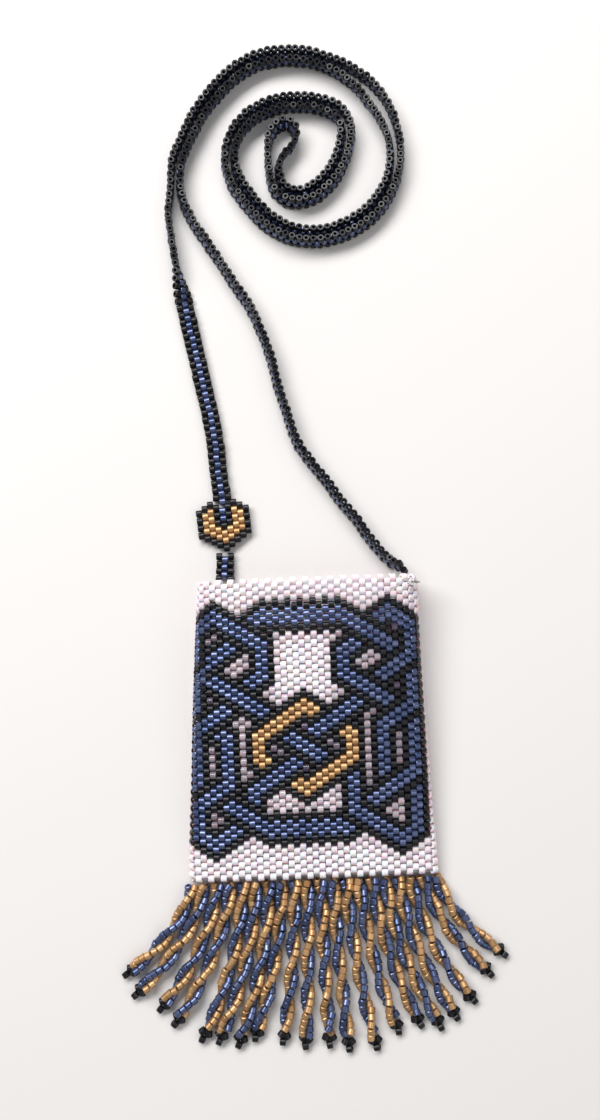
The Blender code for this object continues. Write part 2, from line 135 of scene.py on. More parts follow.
END_LOOP = (
    (-4.5, 163.6), (-3.9, 167.6), (-1.9, 170.1), (0.6, 170.4), (2.1, 168.3), (1.4, 165.4), (-0.9, 162.9),
)
STRAP_SHORT = ((-17.1, 63.9), (-16.9, 67.0), (-16.8, 70.2), (-16.8, 76.4))
SPIRAL_MOVE = np.array((0.4, -0.9, 0.0)) * MM
STRAND_OFFSET = 1.15 * MM  # half the distance between the spiral's two strands
SPREAD = {8: 1.4, 9: 1.6, 10: 1.2, 11: 1.05}  # times the offset, at those points of the spiral
CURVE_STEPS = 24
DIRECTION_STEP = 0.4 * MM
TURN_START = 60.0 * MM  # along the strap, where it starts to turn onto its edge
TURN_LENGTH = 16.0 * MM
EDGE_TURN = math.radians(95)  # just past upright
LAST_TURN = math.radians(80)  # just short of it, on the way back to the right rim
FLAT_HEIGHT = 1.0 * MM  # of the strip's middle line while it lies flat
EDGE_HEIGHT = 2.05 * MM  # the same once it stands on its edge
STRAP_BEAD = 1.6 * MM  # width of a bead
STRAP_POINTS = 400
# For each column of the strap: its piece, its place across, and its bare start and end in pitches
STRAP_COLUMNS = ((0, -1, 0.45, 0.33), (1, 0, 0.95, 1.2), (0, 1, 0.45, 0.33))

# The medallion: the half rows of each colour in a column, the same on both sides of the middle
MEDALLION = (-16.8 * MM, 76.4 * MM, 1.2 * MM)
MEDALLION_REACH = 1.25 * MM  # the strap has no beads of its own this near one of its beads
MEDALLION_TURN = math.radians(5)
MEDALLION_HALF_ROW = 0.83 * MM
MEDALLION_MIDDLE = 4  # the half row through its middle
MEDALLION_BEAD = 1.62 * MM  # width of a bead
MEDALLION_COLUMNS = (
    {"blue": (0, 2), "black": (4, 10), "gold": (6, 8)},
    {"black": (-1, 1, 3, 9), "gold": (5, 7)},
    {"black": (-2, 8), "gold": (0, 2, 4, 6)},
    {"black": (-1, 7), "gold": (1, 3, 5)},
    {"black": (0, 2, 4, 6)},
)

# Fringe
LEG_TIPS = (
    (-41.2, -19.1), (-39.3, -23.2), (-34.0, -26.4), (-30.9, -29.5), (-25.1, -32.9), (-21.6, -33.5),
    (-17.5, -34.4), (-14.0, -33.3), (-8.0, -34.2), (-3.2, -35.2), (1.9, -35.0), (6.1, -36.1), (12.0, -35.9),
    (16.9, -32.9), (21.6, -31.7), (25.9, -32.3), (29.4, -30.4), (33.2, -27.3), (37.1, -21.8), (40.3, -17.9),
)
LEGS = len(LEG_TIPS)
LEG_STEPS = 80
LEG_BEND = np.array((0.12, 0.5))  # where a leg bends, as shares of the way to its tip across and down
LEG_DROP = 0.3 * MM  # below the seam
LEG_START = 0.7 * MM
LEG_TWIST = 13.5 * MM
LEG_HEIGHT = 1.66 * MM
STRING_SPREAD = 0.78 * MM
STRING_PITCH = 1.36 * MM
STRING_LAG = 0.2  # the second string starts this share of a bead later
FRINGE_BEAD = (1.27 * MM, 1.58 * MM)  # length and width
FRINGE_BEVEL = 0.13 * MM
TIP_LENGTH = 3.3 * MM
# Each tip bead in millimetres: sideways, past the end of the strings, and up
TIP_BEADS = ((-0.62, 0.95, 0.95), (0.7, 1.05, 0.95), (0.0, 2.5, 0.85))

# The tie at the rim's right end: how far up and across the front, and how far off it
TIE_UP = 62.4 * MM
TIE_ACROSS = (22.3 * MM, 23.4 * MM, 24.4 * MM, 25.0 * MM, 24.6 * MM)
TIE_PROUD = (1.5 * MM, 1.9 * MM, 1.6 * MM, 1.0 * MM, 0.4 * MM)
TIE_BEAD = 1.5 * MM
TIE_ROUNDING = 3  # times the bevel of the woven beads
THREAD = 0.24 * MM

# The stage: each lamp's name, place in metres, short side, long side and watts
LAMPS = (
    ("soft_box", (-0.28, 0.5, 0.62), 0.32, 0.95, 9.8),
    ("fill_lamp", (0.7, -0.3, 0.9), 0.9, 0.9, 2.6),
)
SKY_STRENGTH = 0.29
FLOOR_HALF = 2.0

# The camera, fitted to the rows of beads
CAMERA = Vector((-0.34, 10.92, 224.7)) * MM
CAMERA_TILT = math.radians(6.5)
CAMERA_ROLL = -0.0391
LENS = 32.75
NEAR_CLIP = 0.01

# The sockets of a Mix node that mixes colours
MIX_FACTOR, MIX_FIRST, MIX_SECOND = 0, 6, 7
MIX_RESULT = 2


def linear(code):
    """The linear colour of an sRGB hex code."""
    values = [int(code[i : i + 2], 16) / 255 for i in (0, 2, 4)]
    return tuple(v / 12.92 if v <= 0.04045 else ((v + 0.055) / 1.055) ** 2.4 for v in values)


def length_size(name, description, default):
    return FloatProperty(name=name, description=description, default=default, unit="LENGTH", precision=5)


def colour(name, description, code):
    return FloatVectorProperty(
        name=name, description=description, subtype="COLOR", size=3, min=0.0, max=1.0, default=linear(code)
    )


class BeadworkSettings(bpy.types.PropertyGroup):
    """The sizes and colours of the beads, and of the stage they lie on."""

    column: length_size("Column", "Length of a bead along the row", 1.31 * MM)
    half_row: length_size("Half row", "Step from a bead to its neighbour in the next column", 0.88 * MM)
    bead_width: length_size("Bead width", "Outer diameter of a bead", 1.69 * MM)
    hole_width: length_size("Hole width", "Diameter of a bead's hole", 0.82 * MM)
    bevel: length_size("Bevel", "Rounding of a bead's ends", 0.1 * MM)
    strap_pitch: length_size("Strap pitch", "Step from bead to bead along the strap", 1.65 * MM)
    # The pink in both pale tones is partly the glass's own lustre and partly a painted reflection of a red
    # surround; which tone a bead gets differs at random
    pale: colour("Pale beads", "Lustred white glass", "F8EAEF")
    pale_deep: colour("Pale beads, deep", "Lustred white glass where it is thicker", "EFDDE4")
    black: colour("Black beads", "Opaque black glass", "121217")
    blue: colour("Blue beads", "Metallic blue finish", "687398")
    blue_deep: colour("Blue beads, deep", "Metallic blue finish, darker beads", "49567A")
    gold: colour("Gold beads", "Matt galvanised gold", "D6AC7C")
    gold_deep: colour("Gold beads, deep", "Matt galvanised gold, darker beads", "AD855A")
    # Painted shade: the grey that pale beads between dark ones are mixed towards
    pale_painted_shade: colour("Pale beads, shaded", "Lustred white glass between dark beads", "4C4253")
    thread: colour("Thread", "Waxed grey nylon", "8E8A88")
    floor: colour("Floor", "Plain pale floor", "DFDCDA")


# Bead shape and placing


def bead_shape(sides, length, width, hole, bevel):
    """The points and faces of a cylinder bead along X, closed through its hole."""
    half, outer, inner = length / 2, width / 2, hole / 2
    profile = (
        (half, inner), (half, outer - bevel), (half - bevel, outer),
        (bevel - half, outer), (-half, outer - bevel), (-half, inner),
    )
    turns = np.arange(sides) * 2 * math.pi / sides
    points = [(x, r * math.cos(a), r * math.sin(a)) for x, r in profile for a in turns]
    faces = []
    for ring in range(len(profile)):
        following = (ring + 1) % len(profile)
        for i in range(sides):
            j = (i + 1) % sides
            faces.append((ring * sides + i, following * sides + i, following * sides + j, ring * sides + j))
    return np.array(points), np.array(faces)


def unit(vectors):
    return vectors / np.linalg.norm(vectors, axis=-1, keepdims=True)


def bases(along, upward):
    """For each bead: its hole's direction, the direction up from what it lies on, and the third."""
    along = unit(along)
    side = unit(np.cross(along, upward))
    return np.stack([along, np.cross(side, along), side], axis=1)


class Beads:
    """Beads that become one mesh: where each lies, which way it faces, its tone, shade and material."""

    def __init__(self, seed):
        self.chance = np.random.default_rng(seed)
        self.centres, self.turns, self.slots, self.shades = [], [], [], []

    def add(self, centres, turns, slot=0, shade=0.0):
        self.centres.append(np.asarray(centres, float).reshape(-1, 3))
        self.turns.append(np.asarray(turns, float).reshape(-1, 3, 3))
        self.slots.append(np.full(len(self.centres[-1]), slot))
        self.shades.append(np.broadcast_to(shade, len(self.centres[-1])))

    def build(self, name, shape, materials, looseness=WOVEN):
        wobble, shift = looseness
        points, faces = shape
        centres = np.concatenate(self.centres)
        turns = np.concatenate(self.turns)
        slots = np.concatenate(self.slots)
        count = len(centres)
        if not count:
            raise RuntimeError(f"{name} has no beads")
        tilt = self.chance.normal(0, wobble, (count, 3))
        small = np.eye(3) + np.cross(tilt[:, None, :], np.eye(3)[None])
        turns = np.einsum("nij,njk->nik", small, turns)
        centres = centres + self.chance.normal(0, shift, (count, 3))
        sizes = 1 + self.chance.normal(0, SIZE_SPREAD, (count, 2))
        scaled = points[None] * np.stack([sizes[:, 0], sizes[:, 1], sizes[:, 1]], axis=1)[:, None, :]
        where = centres[:, None, :] + np.einsum("npi,nij->npj", scaled, turns)
        corners = faces[None] + (np.arange(count) * len(points))[:, None, None]
        mesh = bpy.data.meshes.new(name)
        mesh.vertices.add(count * len(points))
        mesh.vertices.foreach_set("co", where.ravel())
        mesh.loops.add(corners.size)
        mesh.loops.foreach_set("vertex_index", corners.ravel())
        mesh.polygons.add(count * len(faces))
        mesh.polygons.foreach_set("loop_start", np.arange(0, corners.size, 4))
        mesh.polygons.foreach_set("material_index", np.repeat(slots, len(faces)))
        mesh.update(calc_edges=True)
        mesh.shade_smooth()
        mesh.set_sharp_from_angle(angle=SHARP_ANGLE)
        tone = mesh.attributes.new("tone", "FLOAT", "FACE")
        tone.data.foreach_set("value", np.repeat(self.chance.random(count), len(faces)))
        shade = mesh.attributes.new("shade", "FLOAT", "FACE")
        shade.data.foreach_set("value", np.repeat(np.concatenate(self.shades), len(faces)))
        for material in materials:
            mesh.materials.append(material)
        mesh.validate()
        item = bpy.data.objects.new(name, mesh)
        bpy.context.scene.collection.objects.link(item)
        return item


def stand_for(item, slot, *nodes):
    """The piece rides the bag's body and takes the place of those solids. The slot is not used."""
    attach(item, BODY)
    if nodes:
        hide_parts(*nodes)
    return item


def nodes_named(start):
    found = [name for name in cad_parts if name.startswith(start)]
    if not found:
        raise RuntimeError(f"the frame has no solid named {start}")
    return found


# The bag's section, as the solids have it


def rise(t):
    """How high the section stands, at a share t of the way from the seam to the rim."""
    return WALL + MOUTH_RISE * max(t, 0.0) ** RISE_POWER


def oval(angle, half_width, low, fold, high):
    """Points across and up of the section: full in front, flat on the floor behind."""
    cosine, sine = np.cos(angle), np.sin(angle)
    power = np.where(sine >= 0, 2 / FRONT_POWER, 2 / BACK_POWER)
    across = half_width * np.sign(cosine) * np.abs(cosine) ** power
    share = np.abs(sine) ** power
    front = fold + (high - fold) * share
    back = np.maximum(fold - BACK_REACH * (fold - low) * share, low)
    return across, np.where(sine >= 0, front, back)


def section(t, girth):
    """The distance round at each angle, and the section's points, with its middle line girth long."""
    low = WALL / 2
    fold, high = low + FOLD_SHARE * rise(t), low + rise(t)
    narrow, wide = (share * girth for share in WIDTH_RANGE)
    for _ in range(HALVINGS):
        half_width = (narrow + wide) / 2
        x, z = oval(ANGLES, half_width, low, fold, high)
        arc = np.concatenate(([0.0], np.cumsum(np.hypot(np.diff(x), np.diff(z)))))
        if arc[-1] < girth:
            narrow = half_width
        else:
            wide = half_width
    return arc, x, z


def seam_y(half_row):
    """Where the closed bottom lies, with the woven bag's middle at the origin."""
    return -(ROWS_UP * half_row + half_row) * LEAN / 2


def row_of_beads(up, across, sizes):
    """Middles, directions along the row and directions up the wall of the beads at that height."""
    length = ROWS_UP * sizes.half_row
    girth = COLUMNS * sizes.column

    def points_at(height, shift):
        t = height / length
        aside = MOUTH_SHIFT * max(t, 0.0) ** 2
        arc, x, z = section(t, girth)
        place = (across + shift - aside) % arc[-1]
        y = np.full(len(across), seam_y(sizes.half_row) + height * LEAN)
        return np.stack([np.interp(place, arc, x) + aside, y, np.interp(place, arc, z)], axis=1)

    step = sizes.column / 2
    along = points_at(up, step) - points_at(up, -step)
    climb = points_at(up + step, 0.0) - points_at(up - step, 0.0)
    return points_at(up, 0.0), along, climb


# The knot, on the unrolled front


def closed_route(points, sizes):
    """The corners in metres, across the front and up from the seam."""
    across, up = sizes.column, sizes.half_row
    return [np.array(((k - KNOT_SHIFT) * across, (BOTTOM_ROW - h) * up)) for k, h in points]


def route_samples(route):
    """Points close together along the closed route, how far along each is, and its whole length."""
    places, points = [], []
    total = 0.0
    for a, b in zip(route, route[1:] + route[:1]):
        long = float(np.linalg.norm(b - a))
        shares = np.arange(0.0, 1.0, SAMPLE_STEP / long)
        points.append(a + (b - a) * shares[:, None])
        places.append(total + shares * long)
        total += long
    return np.concatenate(points), np.concatenate(places), total


def distance_to(spots, points):
    """How far each spot is from the nearest of the points."""
    gaps = spots[:, None, :] - points[None]
    return np.sqrt((gaps**2).sum(axis=2).min(axis=1))


def route_crossings(route, other, same):
    """(point, distance along the route, distance along the other) of each crossing."""
    found = []
    total = 0.0
    for i, (a, b) in enumerate(zip(route, route[1:] + route[:1])):
        total_other = 0.0
        for j, (c, d) in enumerate(zip(other, other[1:] + other[:1])):
            r, s = b - a, d - c
            cross = r[0] * s[1] - r[1] * s[0]
            apart = not (same and (j <= i + 1 or (i == 0 and j == len(route) - 1)))
            if apart and abs(cross) > PARALLEL:
                u = ((c - a)[0] * s[1] - (c - a)[1] * s[0]) / cross
                v = ((c - a)[0] * r[1] - (c - a)[1] * r[0]) / cross
                if 0 <= u < 1 and 0 <= v < 1:
                    place = total + u * float(np.linalg.norm(r))
                    found.append((a + r * u, place, total_other + v * float(np.linalg.norm(s))))
            total_other += float(np.linalg.norm(s))
        total += float(np.linalg.norm(b - a))
    return found


def knot_colours(spots, sizes):
    """Pale, black, blue or gold for each place on the unrolled front."""
    blue, gold = closed_route(BLUE_STRAND, sizes), closed_route(GOLD_STRAND, sizes)
    samples = {"blue": route_samples(blue), "gold": route_samples(gold)}
    nearest = {name: distance_to(spots, samples[name][0]) for name in samples}
    colours = np.full(len(spots), "pale", dtype=object)
    colours[np.minimum(nearest["blue"], nearest["gold"]) < OUTLINE_HALF] = "black"
    for name in ("gold", "blue"):
        colours[nearest[name] < BAND_HALF] = name
    passes = []
    for point, place, other in route_crossings(blue, blue, True):
        passes += [(place, point, other, "blue"), (other, point, place, "blue")]
    for point, place, other in route_crossings(blue, gold, False):
        passes.append((place, point, other, "gold"))
    passes.sort(key=lambda item: item[0])
    for number, (place, point, other, kind) in enumerate(passes):
        if number % 2 == 0:
            over, along = "blue", place
        elif kind == "gold":
            over, along = "gold", other
        else:
            continue  # its other pass is the one on top
        points, places, total = samples[over]
        near = np.abs((places - along + total / 2) % total - total / 2) < OVER_LENGTH
        around = np.linalg.norm(spots - point, axis=1) < OVER_REACH
        gap = distance_to(spots, points[near])
        colours[around & (gap < OVER_OUTLINE)] = "black"
        colours[around & (gap < BAND_HALF)] = over
    return colours


# Routes of the strap and the fringe


def on_table(points, height, sizes):
    """A route's points in metres, at that height where they have none of their own."""
    low = seam_y(sizes.half_row)
    return [
        np.array((p[0] * MM, low + p[1] * MM, p[2] * MM if len(p) > 2 else height)) for p in points
    ]


def smooth(points):
    """A fine smooth curve through the points."""
    fine = []
    padded = [points[0] * 2 - points[1], *points, points[-1] * 2 - points[-2]]
    for a, b, c, d in zip(padded, padded[1:], padded[2:], padded[3:]):
        for u in np.linspace(0, 1, CURVE_STEPS, endpoint=False):
            bend = (2 * a - 5 * b + 4 * c - d) * u**2 + (3 * b - a - 3 * c + d) * u**3
            fine.append(0.5 * (2 * b + (c - a) * u + bend))
    return np.array([*fine, points[-1]])


def measured(points):
    """How far along each point is."""
    return np.concatenate(([0.0], np.cumsum(np.linalg.norm(np.diff(points, axis=0), axis=1))))


def at_distance(points, places):
    """(points, directions) at those distances along the curve."""
    along = measured(points)

    def there(where):
        return np.stack([np.interp(where, along, points[:, i]) for i in range(3)], axis=1)

    ahead = np.minimum(places + DIRECTION_STEP, along[-1])
    behind = np.maximum(places - DIRECTION_STEP, 0.0)
    return there(places), unit(there(ahead) - there(behind))


def eased(share):
    """From 0 to 1 with a soft start and end."""
    share = np.clip(share, 0, 1)
    return share * share * (3 - 2 * share)


def strap_curve(sizes):
    """The whole route: up the left, round the spiral, back beside itself and down the right."""
    centre = [point + SPIRAL_MOVE for point in on_table(SPIRAL, FLAT_HEIGHT, sizes)]
    outer, inner = [], []
    for i, point in enumerate(centre):
        ahead = centre[min(i + 1, len(centre) - 1)] - centre[max(i - 1, 0)]
        side = unit(np.array((-ahead[1], ahead[0], 0.0))) * STRAND_OFFSET * SPREAD.get(i, 1.0)
        outer.append(point + side)
        inner.append(point - side)
    loop = [point + SPIRAL_MOVE for point in on_table(END_LOOP, FLAT_HEIGHT, sizes)]
    left = on_table(STRAP_SHORT + STRAP_LEFT, FLAT_HEIGHT, sizes)
    right = on_table(STRAP_RIGHT, FLAT_HEIGHT, sizes)
    return smooth(left + outer + loop + inner[::-1] + right[::-1])


def strap_frames(places, curve):
    """Middles, and directions across and off the strap, which lies flat first and then on its edge."""
    middles, ahead = at_distance(curve, places)
    share = eased((places - TURN_START) / TURN_LENGTH)
    middle_way = measured(curve)[-1] / 2
    # The second turn has its middle halfway along the strap.
    later = eased((places - middle_way) / TURN_LENGTH + 0.5)
    turn = share * EDGE_TURN + later * (LAST_TURN - EDGE_TURN)
    side = unit(np.stack([-ahead[:, 1], ahead[:, 0], np.zeros(len(ahead))], axis=1))
    up = np.cross(ahead, side)
    across = side * np.cos(turn)[:, None] + up * np.sin(turn)[:, None]
    off = up * np.cos(turn)[:, None] - side * np.sin(turn)[:, None]
    middles = middles + np.array((0.0, 0.0, 1.0)) * (share * (EDGE_HEIGHT - FLAT_HEIGHT))[:, None]
    return middles, across, off


def leg_curve(index, sizes):
    """Points down the middle of a leg: straight out of the seam, then spreading to its tip."""
    low = seam_y(sizes.half_row)
    span = COLUMNS * sizes.column / 2 - WALL / 4
    root = np.array(((index / (LEGS - 1) - 0.5) * span, low - LEG_DROP))
    tip = np.array((LEG_TIPS[index][0] * MM, low + LEG_TIPS[index][1] * MM))
    bend = root + LEG_BEND * (tip - root)
    u = np.linspace(0, 1, LEG_STEPS)[:, None]
    flat = root * (1 - u) ** 2 + bend * 2 * u * (1 - u) + tip * u**2
    return np.column_stack([flat, np.full(len(flat), LEG_HEIGHT)])


# Materials


def add_node(tree, kind, **settings):
    """A shader node; a setting is one of its properties, or else the value of an input."""
    node = tree.nodes.new(kind)
    for name, value in settings.items():
        if hasattr(node, name):
            setattr(node, name, value)
        else:
            node.inputs[name.replace("_", " ")].default_value = value
    return node


def new_material(name):
    material = bpy.data.materials.new(name)
    material.use_nodes = True
    return material, material.node_tree, material.node_tree.nodes["Principled BSDF"]


def bead_glass(name, main, deep, values, patch=None, shaded=None):
    """Glass with each bead's colour between two tones; values are the shader's own settings."""
    material, tree, shader = new_material(name)
    tone = add_node(tree, "ShaderNodeAttribute", attribute_name="tone")
    mix = add_node(tree, "ShaderNodeMix", data_type="RGBA")
    for place, tint in ((MIX_FIRST, main), (MIX_SECOND, deep)):
        mix.inputs[place].default_value = (*tint, 1)
    tree.links.new(tone.outputs["Fac"], mix.inputs[MIX_FACTOR])
    coloured = mix.outputs[MIX_RESULT]
    # Painted shade: the bead's shade value mixes its colour towards the shaded grey
    if shaded:
        shade = add_node(tree, "ShaderNodeAttribute", attribute_name="shade")
        darker = add_node(tree, "ShaderNodeMix", data_type="RGBA")
        darker.inputs[MIX_SECOND].default_value = (*shaded, 1)
        tree.links.new(shade.outputs["Fac"], darker.inputs[MIX_FACTOR])
        tree.links.new(coloured, darker.inputs[MIX_FIRST])
        coloured = darker.outputs[MIX_RESULT]
    tree.links.new(coloured, shader.inputs["Base Color"])
    for key, value in values.items():
        shader.inputs[key].default_value = value
    if patch:
        size, depth = patch
        place = add_node(tree, "ShaderNodeTexCoord")
        noise = add_node(tree, "ShaderNodeTexNoise", Scale=1 / size, Detail=3.0)
        bump = add_node(tree, "ShaderNodeBump", Strength=1.0, Distance=depth)
        tree.links.new(place.outputs["Object"], noise.inputs["Vector"])
        tree.links.new(noise.outputs["Fac"], bump.inputs["Height"])
        tree.links.new(bump.outputs["Normal"], shader.inputs["Normal"])
    return material


def lustre_glass(sizes):
    """Lustred white seed-bead glass: near white, clear gloss, with painted shade that greys it where dark
    beads take its light.
    """
    values = {"Roughness": 0.16, "IOR": 1.52, "Subsurface Weight": 0.6, "Subsurface Scale": 1.2 * MM}
    tints = tuple(sizes.pale), tuple(sizes.pale_deep)
    return bead_glass("lustred_white_glass", *tints, values, shaded=tuple(sizes.pale_painted_shade))


def black_glass(sizes):
    """Opaque black glass: deep grey-black with a soft gloss."""
    values = {"Roughness": 0.34, "IOR": 1.5, "Specular IOR Level": 0.36}
    return bead_glass("opaque_black_glass", tuple(sizes.black), tuple(sizes.black), values)


def blue_glass(sizes):
    """Metallic-coated blue glass: a dusty blue with bright blue highlights."""
    values = {"Roughness": 0.3, "Metallic": 0.75}
    return bead_glass("metallic_blue_glass", tuple(sizes.blue), tuple(sizes.blue_deep), values)


def gold_glass(sizes):
    """Matt galvanised glass: warm gold with a broad, dull shine."""
    values = {"Roughness": 0.42, "Metallic": 0.65}
    patch = (0.35 * MM, 0.02 * MM)
    return bead_glass("matt_galvanised_gold", tuple(sizes.gold), tuple(sizes.gold_deep), values, patch)


def clear_glass():
    """Clear glass: bright rim and highlight, with what lies behind it seen through."""
    values = {"Roughness": 0.05, "IOR": 1.52, "Transmission Weight": 0.9}
    return bead_glass("clear_glass", (1.0, 1.0, 1.0), (1.0, 1.0, 1.0), values)


def waxed_nylon(sizes):
    """Waxed nylon thread: grey, with a dull sheen."""
    material, _, shader = new_material("waxed_nylon_thread")
    shader.inputs["Base Color"].default_value = (*sizes.thread, 1)
    shader.inputs["Roughness"].default_value = 0.5
    return material


def materials_for(sizes):
    """The four glasses, each made once."""
    makers = {
        "pale": ("lustred_white_glass", lustre_glass),
        "black": ("opaque_black_glass", black_glass),
        "blue": ("metallic_blue_glass", blue_glass),
        "gold": ("matt_galvanised_gold", gold_glass),
    }
    return {key: bpy.data.materials.get(name) or make(sizes) for key, (name, make) in makers.items()}


def front_shape(sizes):
    length = FILL * sizes.column
    return bead_shape(FRONT_SIDES, length, sizes.bead_width, sizes.hole_width, sizes.bevel)


def plain_shape(sizes, width, length):
    return bead_shape(PLAIN_SIDES, length, width, sizes.hole_width, sizes.bevel)


# Operators


class BEADWORK_OT_weave_bag(bpy.types.Operator):
    """Weave the bag in staggered columns, with the knot on its front"""

    bl_idname = "beadwork.weave_bag"
    bl_label = "Weave Bag"
    bl_options = {"REGISTER", "UNDO"}

    def execute(self, context):
        sizes = context.scene.beadwork
        names = ("pale", "back", "black", "blue", "gold")
        groups = {name: Beads(seed=number) for number, name in enumerate(names)}
        every = []
        for h in range(TOP_ROW, BOTTOM_ROW):
            columns = np.array([k for k in range(-LEFT_COLUMNS, LEFT_COLUMNS) if (k + h) % 2])
            across = (columns - KNOT_SHIFT) * sizes.column
            up = (BOTTOM_ROW - h) * sizes.half_row
            middles, along, climb = row_of_beads(up, across, sizes)
            turns = bases(along, np.cross(along, climb))
            spots = np.stack([across, np.full(len(across), up)], axis=1)
            front = np.abs(columns + 0.5 - KNOT_SHIFT) <= LEFT_COLUMNS / 2
            colours = np.where(front, knot_colours(spots, sizes), "back")
            colours[[(k, h) in PALE_GAPS for k in columns]] = "pale"
            every.append((middles, turns, spots, colours))
        middles, turns, spots, colours = (np.concatenate(part) for part in zip(*every))
        dark = spots[(colours != "pale") & (colours != "back")]
        for name, beads in groups.items():
            chosen = colours == name
            # Painted shade: the more dark beads lie near a pale bead, the greyer it is painted
            gaps = np.linalg.norm(spots[chosen][:, None] - dark[None], axis=2)
            shade = np.clip((gaps < SHADE_REACH).sum(axis=1) / SHADE_FULL, 0, 1)
            beads.add(middles[chosen], turns[chosen], shade=shade**SHADE_POWER)
        glass = materials_for(sizes)
        shape = front_shape(sizes)
        item = groups["pale"].build("bag_pale_beads_front", shape, [glass["pale"]])
        stand_for(item, "pale_beads", "bag_wall")
        shape_behind = plain_shape(sizes, sizes.bead_width, FILL * sizes.column)
        item = groups["back"].build("bag_pale_beads_back", shape_behind, [glass["pale"]])
        stand_for(item, "pale_beads", "bag_wall")
        item = groups["black"].build("knot_black_beads", shape, [glass["black"]])
        stand_for(item, "black_beads", "knot_ground")
        item = groups["blue"].build("knot_blue_beads", shape, [glass["blue"]])
        stand_for(item, "blue_beads", *nodes_named("knot_band"))
        item = groups["gold"].build("knot_gold_beads", shape, [glass["gold"]])
        stand_for(item, "gold_beads", *nodes_named("knot_loop"))
        return {"FINISHED"}


def medallion_beads(sizes):
    """(middle, slot) of each bead of the medallion, and the direction of their holes."""
    middle = np.array(MEDALLION) + np.array((0.0, seam_y(sizes.half_row), 0.0))
    c, s = math.cos(MEDALLION_TURN), math.sin(MEDALLION_TURN)
    right, ahead = np.array((c, s, 0.0)), np.array((-s, c, 0.0))
    found = []
    for column in range(1 - len(MEDALLION_COLUMNS), len(MEDALLION_COLUMNS)):
        for slot, name in enumerate(("black", "gold", "blue")):
            for half_row in MEDALLION_COLUMNS[abs(column)].get(name, ()):
                place = middle + right * column * sizes.column
                below = half_row - MEDALLION_MIDDLE
                found.append((place - ahead * below * MEDALLION_HALF_ROW, slot))
    return found, right


class BEADWORK_OT_weave_medallion(bpy.types.Operator):
    """Weave the small medallion on the left end of the strap"""

    bl_idname = "beadwork.weave_medallion"
    bl_label = "Weave Medallion"
    bl_options = {"REGISTER", "UNDO"}

    def execute(self, context):
        sizes = context.scene.beadwork
        glass = materials_for(sizes)
        beads = Beads(seed=11)
        places, right = medallion_beads(sizes)
        for place, slot in places:
            beads.add(place, bases(right[None], np.array(((0.0, 0.0, 1.0),))), slot)
        length = FILL * sizes.column
        shape = bead_shape(FRONT_SIDES, length, MEDALLION_BEAD, sizes.hole_width, sizes.bevel)
        item = beads.build("medallion_beads", shape, [glass["black"], glass["gold"], glass["blue"]])
        stand_for(item, "black_beads", "medallion", "medallion_emblem")
        return {"FINISHED"}


class BEADWORK_OT_string_strap(bpy.types.Operator):
    """Weave the strap, a strip three beads wide, along its whole route"""

    bl_idname = "beadwork.string_strap"
    bl_label = "Weave Strap"
    bl_options = {"REGISTER", "UNDO"}

    def execute(self, context):
        sizes = context.scene.beadwork
        glass = materials_for(sizes)
        curve = strap_curve(sizes)
        long = measured(curve)[-1]
        groups = (Beads(seed=21), Beads(seed=22))
        taken = np.array([place[:2] for place, _ in medallion_beads(sizes)[0]])
        pitch = sizes.strap_pitch
        for group, column, start, end in STRAP_COLUMNS:
            places = np.arange(start * pitch, long - end * pitch, pitch)
            middles, across, off = strap_frames(places, curve)
            middles = middles + across * column * sizes.column
            clear = distance_to(middles[:, :2], taken) > MEDALLION_REACH
            groups[group].add(middles[clear], bases(across[clear], off[clear]))
        shape = plain_shape(sizes, STRAP_BEAD, STRAP_FILL * sizes.column)
        outer = groups[0].build("strap_black_beads", shape, [glass["black"]], STRAP_WEAVE)
        inner = groups[1].build("strap_blue_beads", shape, [glass["blue"]], STRAP_WEAVE)
        stand_for(outer, "black_beads", "strap_long", "strap_short")
        stand_for(inner, "blue_beads", "strap_long")
        path = strap_frames(np.linspace(0, long, STRAP_POINTS), curve)[0]
        return {"FINISHED"}


class BEADWORK_OT_tie_rim(bpy.types.Operator):
    """Tie the strap's right end to the rim with one clear bead and a small loop of thread"""

    bl_idname = "beadwork.tie_rim"
    bl_label = "Tie Rim"
    bl_options = {"REGISTER", "UNDO"}

    def execute(self, context):
        sizes = context.scene.beadwork
        surface, along, climb = row_of_beads(TIE_UP, np.array(TIE_ACROSS), sizes)
        turns = bases(along, np.cross(along, climb))
        spots = surface + turns[:, 1] * np.array(TIE_PROUD)[:, None]
        bead = Beads(seed=31)
        bead.add(spots[0], turns[:1])
        bevel = TIE_ROUNDING * sizes.bevel
        shape = bead_shape(CLEAR_SIDES, TIE_BEAD, TIE_BEAD, sizes.hole_width, bevel)
        item = bead.build("tie_clear_bead", shape, [clear_glass()])
        stand_for(item, None)
        line = bpy.data.curves.new("tie_thread", "CURVE")
        line.dimensions = "3D"
        line.bevel_depth = THREAD / 2
        line.bevel_resolution = 3
        line.use_fill_caps = True
        spline = line.splines.new("POLY")
        route = smooth(list(spots))
        spline.points.add(len(route) - 1)
        spline.points.foreach_set("co", np.column_stack([route, np.ones(len(route))]).ravel())
        guide = bpy.data.objects.new("tie_guide", line)
        mesh = bpy.data.meshes.new_from_object(guide)
        bpy.data.objects.remove(guide)
        mesh.name = "tie_thread"
        mesh.shade_smooth()
        mesh.materials.clear()
        mesh.materials.append(waxed_nylon(sizes))
        thread = bpy.data.objects.new("tie_thread", mesh)
        context.scene.collection.objects.link(thread)
        stand_for(thread, None)
        return {"FINISHED"}


